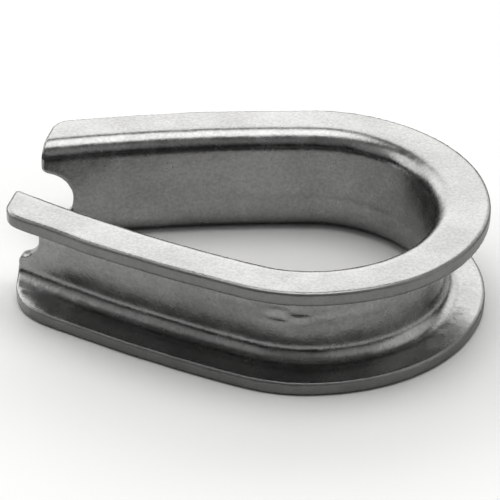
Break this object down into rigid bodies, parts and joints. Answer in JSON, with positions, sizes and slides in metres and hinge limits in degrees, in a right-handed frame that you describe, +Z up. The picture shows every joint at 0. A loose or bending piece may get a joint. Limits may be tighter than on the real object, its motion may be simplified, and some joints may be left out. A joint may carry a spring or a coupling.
{
  "type": "wire rope thimble",
  "caption": "Open-end teardrop thimble with an outward rope groove: it lines the eye of a wire rope and spreads the load of a shackle, hook or ring.",
  "frame": {"origin": "middle of the footprint, on the face the thimble lies on", "axes": "+X from the open tips to the crown, +Y across the eye, +Z up through the eye, square to the flanges"},
  "size_m": [0.0896, 0.0704, 0.022],
  "materials": {
    "galvanised": "hot-dip galvanised, mottled satin grey"
  },
  "bodies": {
    "root": {"thimble": "galvanised"}
  },
  "joints": []
}
